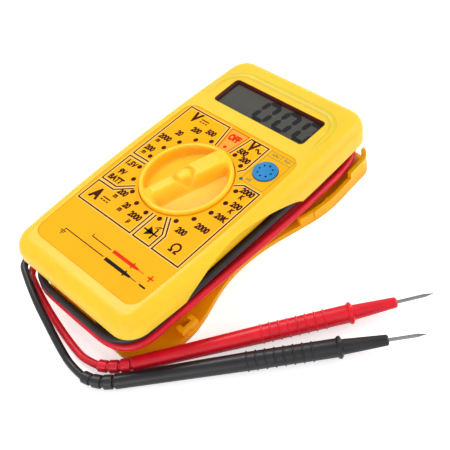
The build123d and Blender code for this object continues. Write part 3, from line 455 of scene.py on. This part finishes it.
LABELS = [
    ("V", -17.0, 20.2, BIG), ("500", -7.8, 17.9, NUMBER), ("200", -12.5, 16.1, NUMBER),
    ("20", -16.1, 12.2, NUMBER), ("2000", -18.5, 8.3, NUMBER), ("m", -19.4, 6.3, UNIT),
    ("200", -19.0, 2.3, NUMBER), ("m", -19.4, 0.3, UNIT), ("1.5V", -18.8, -5.6, NUMBER),
    ("9V", -18.4, -9.6, NUMBER), ("BATT", -17.8, -12.7, NUMBER),
    ("A", -18.0, -20.1, BIG), ("200", -11.6, -15.2, NUMBER), ("m", -12.4, -17.2, UNIT),
    ("20", -6.8, -17.9, NUMBER), ("m", -7.4, -19.9, UNIT), ("2000", -1.7, -19.1, NUMBER),
    ("\u00b5", -1.8, -21.2, UNIT), ("200", 13.4, -15.0, NUMBER), ("2000", 17.4, -10.7, NUMBER),
    ("20K", 18.9, -4.8, NUMBER), ("200", 19.4, 0.9, NUMBER), ("K", 19.5, -1.4, UNIT),
    ("2000", 18.5, 6.4, NUMBER), ("K", 18.3, 4.1, UNIT),
    ("V", 6.9, 20.8, BIG - 0.6), ("500", 6.1, 17.5, NUMBER), ("200", 8.9, 15.4, NUMBER),
]


def dot_place(step):
    """Where the dot of a switch position lies, counted clockwise from OFF."""
    angle = math.radians(90 - step * 360 / POSITIONS)
    return DOT_RING * math.cos(angle), DOT_RING * math.sin(angle)


def add_direct_sign(shape, x, y, width):
    """Straight line over three dashes: direct current."""
    add_line(shape, [(x, y + 0.55), (x + width, y + 0.55)], 0.42)
    dash = width / 3.8
    for index in range(3):
        left = x + index * dash * 1.4
        add_line(shape, [(left, y - 0.45), (left + dash, y - 0.45)], 0.42)


def print_dial():
    fields = bmesh.new()
    lines = bmesh.new()
    for outline in FRAMES:
        add_line(lines, outline, LINE)
        add_line(fields, outline, LINE + LINE_EDGE)
    thick_print("scale_line_edges", fields, LABEL_Z + 0.002, inks["pale"], thickness=0.006)
    for step in range(1, POSITIONS):
        if step != SOCKET_STEP:
            add_dot(lines, *dot_place(step), DOT_R)
    for text, x, y, size in LABELS:
        add_text(lines, text, x, y, size)
    add_direct_sign(lines, -14.6, 20.2, 3.2)
    add_direct_sign(lines, -15.4, -20.1, 3.2)
    wave = [(8.6 + i * 0.2, 20.4 + 0.6 * math.sin(i * math.pi / 6)) for i in range(13)]
    add_line(lines, wave, 0.55)
    ohm_x, ohm_y, ohm_r = 16.6, -19.8, 1.35
    bow = [math.radians(244 - i * 308 / 16) for i in range(17)]
    ohm = [(ohm_x - 1.6, ohm_y - 1.65), (ohm_x - 0.6, ohm_y - 1.65)]
    ohm += [(ohm_x + ohm_r * math.cos(a), ohm_y + ohm_r * math.sin(a)) for a in bow]
    ohm += [(ohm_x + 0.6, ohm_y - 1.65), (ohm_x + 1.6, ohm_y - 1.65)]
    add_line(lines, ohm, 0.6)
    thick_print("scale_print", lines, LABEL_Z + 0.004, inks["brown"])

    diode = bmesh.new()
    add_polygon(diode, [(5.3, -18.5), (5.3, -22.1), (7.7, -20.3)])
    add_line(diode, [(3.9, -20.3), (9.4, -20.3)], 0.5)
    add_line(diode, [(7.9, -18.4), (7.9, -22.2)], 0.55)
    for x in (8.2, 8.9):
        add_line(diode, [(x - 1.6, -18.6), (x - 0.4, -17.2)], 0.3)
    thick_print("diode_sign", diode, LABEL_Z + 0.004, inks["black"])

    off = bmesh.new()
    add_polygon(off, [(-1.7, 14.9), (1.9, 14.9), (3.3, 23.1), (-3.3, 23.1)])
    thick_print("off_field", off, LABEL_Z + 0.002, inks["orange"], thickness=0.006)
    off_ink = bmesh.new()
    add_line(off_ink, [(-1.9, 14.9), (-3.5, 23.3), (3.5, 23.3), (2.1, 14.9)], 0.28)
    add_text(off_ink, "OFF", 0.0, 20.3, 3.3, 0.075, slant=0.0, squeeze=0.72)
    add_dot(off_ink, 0, DOT_RING, 0.6)
    thick_print("off_print", off_ink, LABEL_Z + 0.008, inks["red"])

    socket = bmesh.new()
    add_line(socket, [(13.0, 9.2), (13.0, 23.1), (21.8, 23.1), (21.8, 9.2)], 0.16, closed=True)
    add_line(socket, [(13.0, 20.9), (21.8, 20.9)], 0.16)
    add_line(socket, [(17.4, 20.9), (17.4, 23.1)], 0.16)
    add_text(socket, "NPN", 15.2, 22.0, 1.5, 0.01)
    add_text(socket, "PNP", 19.6, 22.0, 1.5, 0.01)
    add_text(socket, "hFE", 15.2, 10.4, 1.6, 0.01)
    add_dot(socket, *dot_place(SOCKET_STEP), 0.6)
    thick_print("socket_print", socket, LABEL_Z + 0.004, inks["green"])


def add_probe_sign(shape, x, y, length):
    """Small sketch of a test probe that points right."""
    half = 0.55
    guard = x + length * 0.62
    add_polygon(shape, [(x, y - half), (guard, y - half), (guard, y + half), (x, y + half)])
    add_polygon(shape, [(guard, y - 1.0), (guard + 0.5, y - 1.0), (guard + 0.5, y + 1.0), (guard, y + 1.0)])
    neck = x + length * 0.82
    add_polygon(shape, [
        (guard + 0.5, y - half), (neck, y - 0.3), (neck, y + 0.3), (guard + 0.5, y + half)])
    add_line(shape, [(neck, y), (x + length, y)], 0.22)


def print_foot():
    """Under the dial: which probe is plus and which is minus."""
    ink = bmesh.new()
    add_line(ink, [(-6.0, -30.5), (-6.0, -31.4), (2.4, -31.4)], 0.3)
    add_line(ink, [(-14.6, -35.2), (-14.6, -34.3), (2.4, -34.3)], 0.3)
    for index, width in enumerate((2.2, 1.4, 0.6)):
        y = -35.3 - index * 0.55
        add_line(ink, [(-14.6 - width / 2, y), (-14.6 + width / 2, y)], 0.28)
    add_probe_sign(ink, 3.2, -34.4, 13.0)
    add_line(ink, [(17.6, -34.4), (20.0, -34.4)], 0.55)
    thick_print("minus_probe_sign", ink, LABEL_Z + 0.004, inks["black"])
    red = bmesh.new()
    add_probe_sign(red, 3.2, -31.3, 13.0)
    add_line(red, [(17.7, -31.3), (19.9, -31.3)], 0.5)
    add_line(red, [(18.8, -32.4), (18.8, -31.56)], 0.5)
    add_line(red, [(18.8, -31.04), (18.8, -30.2)], 0.5)
    thick_print("plus_probe_sign", red, LABEL_Z + 0.004, inks["red"])


print_dial()
print_foot()


# ---------------------------------------------------------------- display
SEGMENTS = {
    "a": [(0, 1), (1, 1)], "b": [(1, 1), (1, 0.5)], "c": [(1, 0.5), (1, 0)],
    "d": [(0, 0), (1, 0)], "e": [(0, 0.5), (0, 0)], "f": [(0, 1), (0, 0.5)],
}


def add_segment(shape, a, b, width):
    """One bar of a digit, with pointed ends."""
    a, b = Vector(a), Vector(b)
    along = (b - a).normalized()
    across = Vector((-along.y, along.x))
    gap = along * 0.06
    point = along * width / 2
    side = across * width / 2
    a, b = a + gap, b - gap
    add_polygon(shape, [
        tuple(p) for p in (a, a + point - side, b - point - side, b, b - point + side, a + point + side)])


def make_digits():
    low_y, high_y = 31.3, 39.6
    lean = 0.10
    digits = bmesh.new()
    for left in (-3.4, 4.8, 13.0):
        for ends in SEGMENTS.values():
            spots = []
            for u, v in ends:
                y = low_y + v * (high_y - low_y)
                spots.append((left + u * 4.4 + lean * (y - low_y), y))
            add_segment(digits, *spots, 1.75)
    thick_print("display_digits", digits, GLASS_Z + 0.004, inks["segment"])


def rounded_outline(half_w, half_h, radius, centre_y, steps=8):
    """Corner-rounded rectangle as points, anticlockwise."""
    points = []
    for quarter, (sx, sy) in enumerate(((1, 1), (-1, 1), (-1, -1), (1, -1))):
        for i in range(steps + 1):
            angle = math.radians(90 * (quarter + i / steps))
            points.append((sx * (half_w - radius) + radius * math.cos(angle),
                           centre_y + sy * (half_h - radius) + radius * math.sin(angle)))
    return points


def ring_mesh(name, rings):
    """Closed tube of mesh through rings of points, each a list of (x, y, z) in millimetres."""
    shape = bmesh.new()
    rows = [[shape.verts.new(point) for point in ring] for ring in rings]
    for here, there in zip(rows, rows[1:] + rows[:1]):
        for i in range(len(here)):
            j = (i + 1) % len(here)
            shape.faces.new((here[i], here[j], there[j], there[i]))
    bmesh.ops.recalc_face_normals(shape, faces=shape.faces[:])
    mesh = bpy.data.meshes.new(name)
    shape.to_mesh(mesh)
    shape.free()
    mesh.transform(Matrix.Scale(MM, 4))
    return mesh


def make_window_wall_shade():
    """Dark red-brown sheet on the walls of the display's window: painted shade of the recess walls."""
    levels = ((0.03, GLASS_Z + 0.01), (0.03, FACE_Z - 0.10), (0.25, FACE_Z - 0.06), (0.75, GLASS_Z + 0.5),
              (0.85, GLASS_Z + 0.01))
    rings = []
    for inset, z in levels:
        outline = rounded_outline(WINDOW_W / 2 - inset, WINDOW_H / 2 - inset, 1.4 - min(inset, 0.8), WINDOW_Y)
        rings.append([(x, y, z) for x, y in outline])
    finish_piece("display_window_wall_shade", ring_mesh("display_window_wall_shade", rings), inks["window_wall_shade"])


def make_surround():
    """Soft raised bead that arches over the display."""
    corner, left, top, foot = 8.0, -22.4, 42.2, 27.0
    path = [(left, foot + i * (top - corner - foot) / 8) for i in range(8)]
    path += [(left + corner - corner * math.cos(a), top - corner + corner * math.sin(a))
             for a in (math.radians(i * 7.5) for i in range(13))]
    path += [(left + corner + i * -2 * (left + corner) / 24, top) for i in range(1, 12)]
    path.append((0.0, top))
    path += [(-x, y) for x, y in reversed(path[:-1])]
    count = len(path)
    section = [(-1.3, -0.15), (-1.0, 0.0), (-0.6, 0.10), (-0.3, 0.32), (0.0, 0.36), (0.3, 0.28), (0.8, 0.09),
               (1.4, 0.0), (1.7, -0.15)]
    shape = bmesh.new()
    rows = []
    for i, (x, y) in enumerate(path):
        before, after = Vector(path[max(0, i - 1)]), Vector(path[min(count - 1, i + 1)])
        along = (after - before).normalized()
        across = Vector((-along.y, along.x))
        fade = ease(0, 7, min(i, count - 1 - i))
        row = []
        for out, rise in section:
            spot = Vector((x, y)) + across * out
            beyond = max(0.0, abs(spot.x) - FACE_HALF_W)
            drop = FACE_EDGE_R - math.sqrt(max(0.0, FACE_EDGE_R ** 2 - beyond ** 2))
            lift = rise * fade if rise > 0 else rise
            row.append(shape.verts.new((spot.x, spot.y, FACE_Z - drop + lift - 0.02)))
        rows.append(row)
    last = len(section) - 1
    for here, there in zip(rows, rows[1:]):
        for j in range(last):
            shape.faces.new((here[j], here[j + 1], there[j + 1], there[j]))
        shape.faces.new((here[last], here[0], there[0], there[last]))
    shape.faces.new(rows[0])
    shape.faces.new(list(reversed(rows[-1])))
    bmesh.ops.recalc_face_normals(shape, faces=shape.faces[:])
    mesh = bpy.data.meshes.new("display_surround")
    shape.to_mesh(mesh)
    shape.free()
    mesh.transform(Matrix.Scale(MM, 4))
    finish_piece("display_surround", mesh, looks["case_yellow"], smooth=True)


make_digits()
make_window_wall_shade()
make_surround()


# ---------------------------------------------------------------- selector knob
KNOB_R = 14.2
KNOB_TURN = -18.0
KNOB_TOP = 22.9
BAR_TOP = 24.4
KNOB_FOOT = 17.4
KNOB_SIDES, KNOB_RINGS = 168, 62


def knob_height(u, v):
    """Height of the knob's top, u along the pointer, v across it, both from its centre."""
    r = math.hypot(u, v)
    floor = 19.9 + 1.0 * ease(11.0, 3.0, abs(v))
    dish = floor + (KNOB_TOP - floor) * ease(11.6, 13.2, r)
    bar_half = 1.2 + 1.3 * ease(-1.5, 3.0, u)
    slope_end = bar_half + 3.4 - 1.4 * ease(-2.0, 4.0, u)
    ridge = 1 - ease(bar_half, slope_end, abs(v))
    crest = BAR_TOP - 1.0 * ease(10.5, 13.8, abs(u))
    height = dish + (crest - dish) * ridge
    from_hub = math.hypot(u + 0.4, v)
    moat = math.exp(-((from_hub - 2.7) / 0.55) ** 2)
    height -= 0.75 * moat * (1 - ease(3.0, 5.0, abs(v)))
    height += 0.25 * ease(2.4, 0.8, from_hub)
    return height - 0.35 * ease(KNOB_R - 0.5, KNOB_R, r) ** 2


def make_knob():
    """The knob's dished face as rings of points, closed by its side wall and underside."""
    shape = bmesh.new()
    radii = [KNOB_R * (i / KNOB_RINGS) ** 0.9 for i in range(1, KNOB_RINGS + 1)]
    turn = math.radians(KNOB_TURN)

    def ring(radius, height):
        row = []
        for i in range(KNOB_SIDES):
            angle = 2 * math.pi * i / KNOB_SIDES
            v, u = radius * math.cos(angle), radius * math.sin(angle)
            z = height(u, v) if callable(height) else height
            x = v * math.cos(turn) - u * math.sin(turn)
            y = v * math.sin(turn) + u * math.cos(turn)
            row.append(shape.verts.new((x, y + DIAL_Y, z)))
        return row

    middle = shape.verts.new((0, DIAL_Y, knob_height(0, 0)))
    rings = [ring(radius, knob_height) for radius in radii]
    rings += [ring(KNOB_R + 0.06, KNOB_TOP - 0.75), ring(KNOB_R + 0.06, 20.0), ring(KNOB_R + 0.9, 19.7),
              ring(KNOB_R + 0.9, KNOB_FOOT)]
    for i in range(KNOB_SIDES):
        shape.faces.new((middle, rings[0][i], rings[0][(i + 1) % KNOB_SIDES]))
    for inner, outer in zip(rings, rings[1:]):
        for i in range(KNOB_SIDES):
            j = (i + 1) % KNOB_SIDES
            shape.faces.new((inner[i], outer[i], outer[j], inner[j]))
    shape.faces.new(list(reversed(rings[-1])))
    bmesh.ops.recalc_face_normals(shape, faces=shape.faces[:])
    mesh = bpy.data.meshes.new("selector_knob")
    shape.to_mesh(mesh)
    shape.free()
    mesh.transform(Matrix.Scale(MM, 4))
    knob = finish_piece(
        "selector_knob", mesh, looks["knob_yellow"], body="selector", smooth=True)
    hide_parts("rotary_knob")


make_knob()
